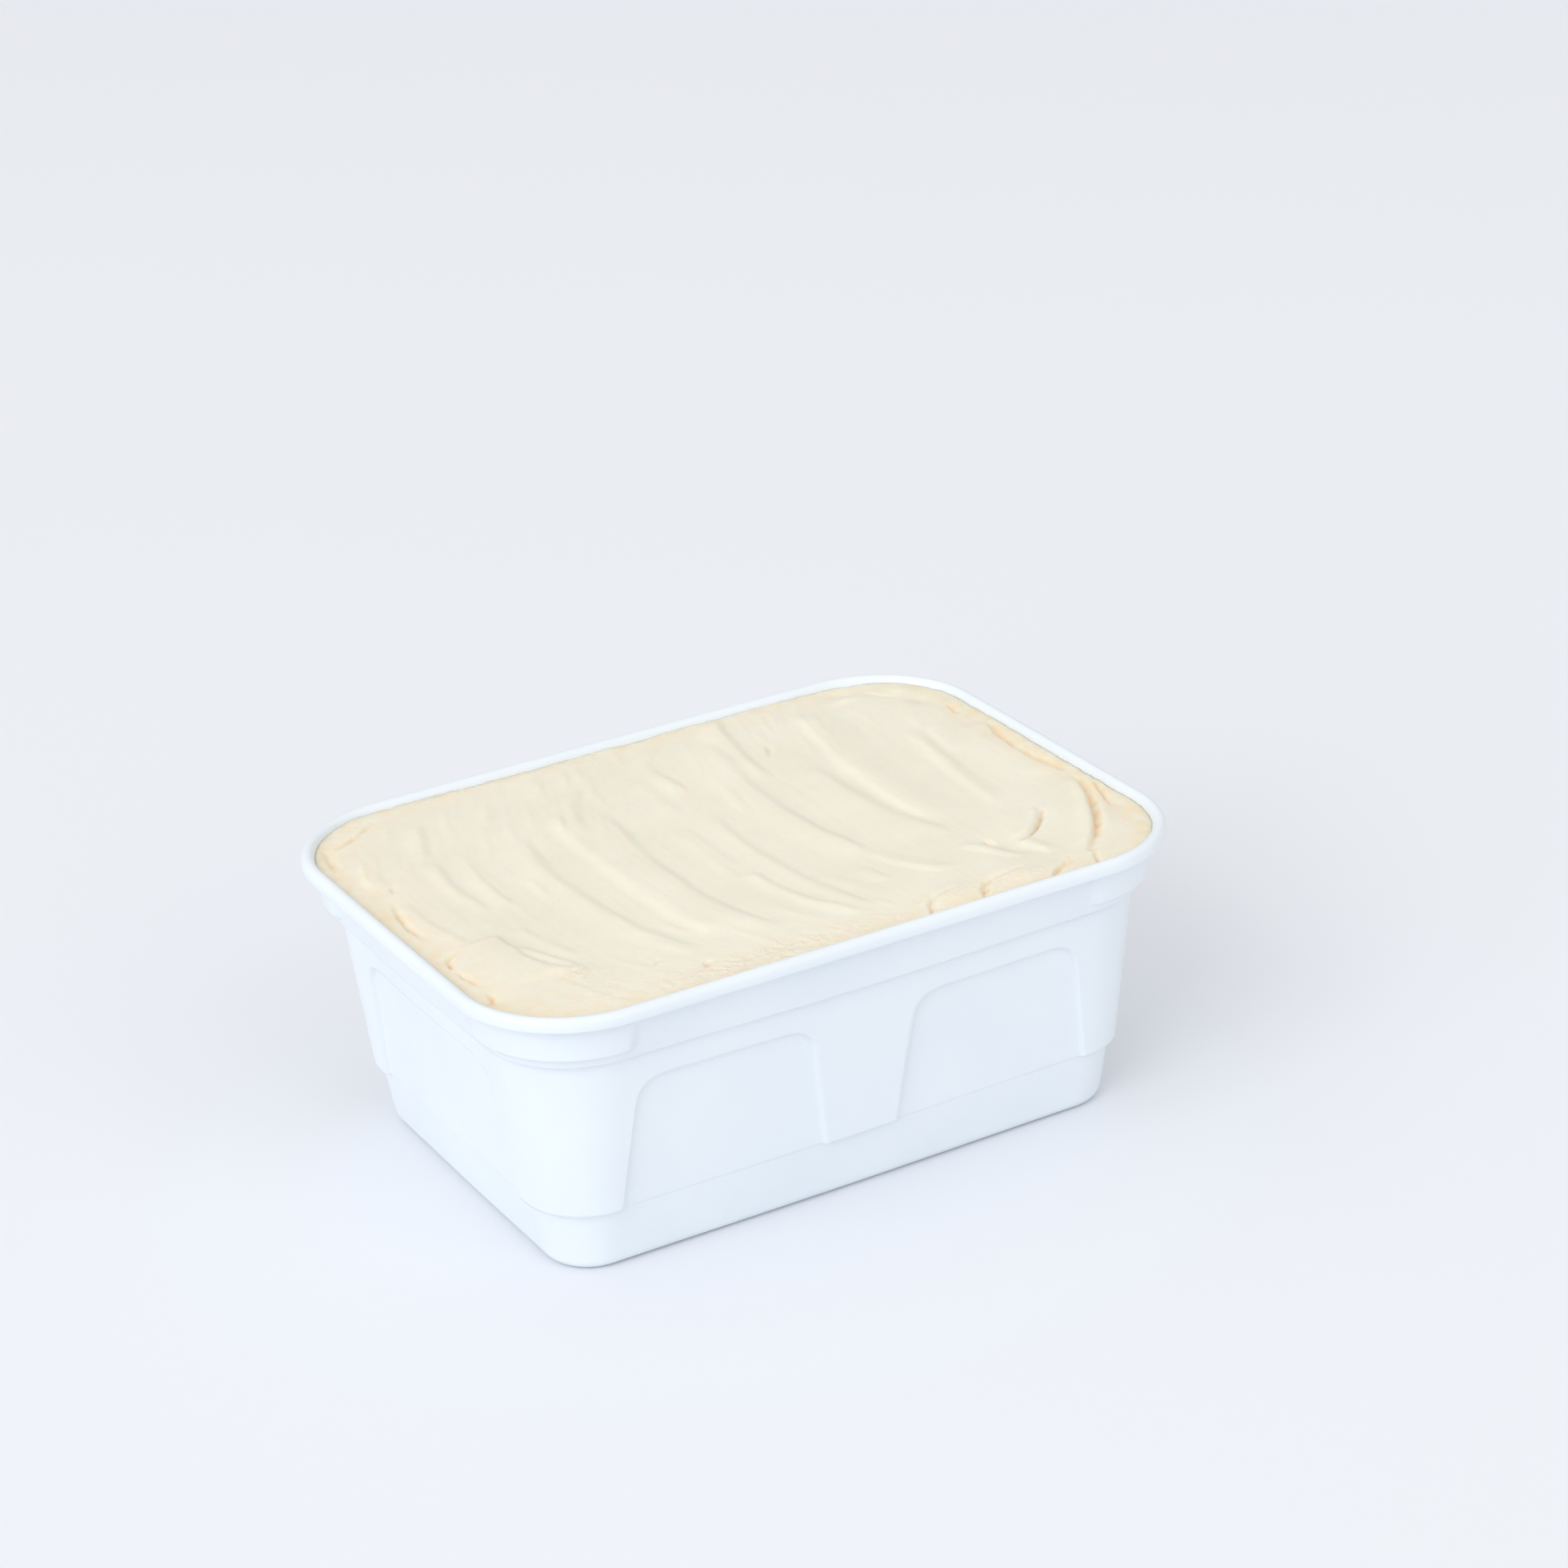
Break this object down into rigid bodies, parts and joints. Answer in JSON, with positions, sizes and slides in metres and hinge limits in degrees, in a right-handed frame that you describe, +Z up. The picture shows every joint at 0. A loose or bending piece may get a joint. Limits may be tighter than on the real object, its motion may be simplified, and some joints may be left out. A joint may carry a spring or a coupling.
{
  "type": "ice cream tub",
  "caption": "Open rectangular white plastic tub filled nearly to the rim with spatula-smoothed cream-coloured ice cream.",
  "frame": {"origin": "middle of the tub's foot, at table level", "axes": "+X along the long sides, +Y along the short sides, +Z up"},
  "size_m": [0.1702, 0.1244, 0.0674],
  "materials": {
    "tub": "satin",
    "ice_cream": "matte"
  },
  "bodies": {
    "root": {"tub": "tub", "ice_cream": "ice_cream"}
  },
  "joints": []
}
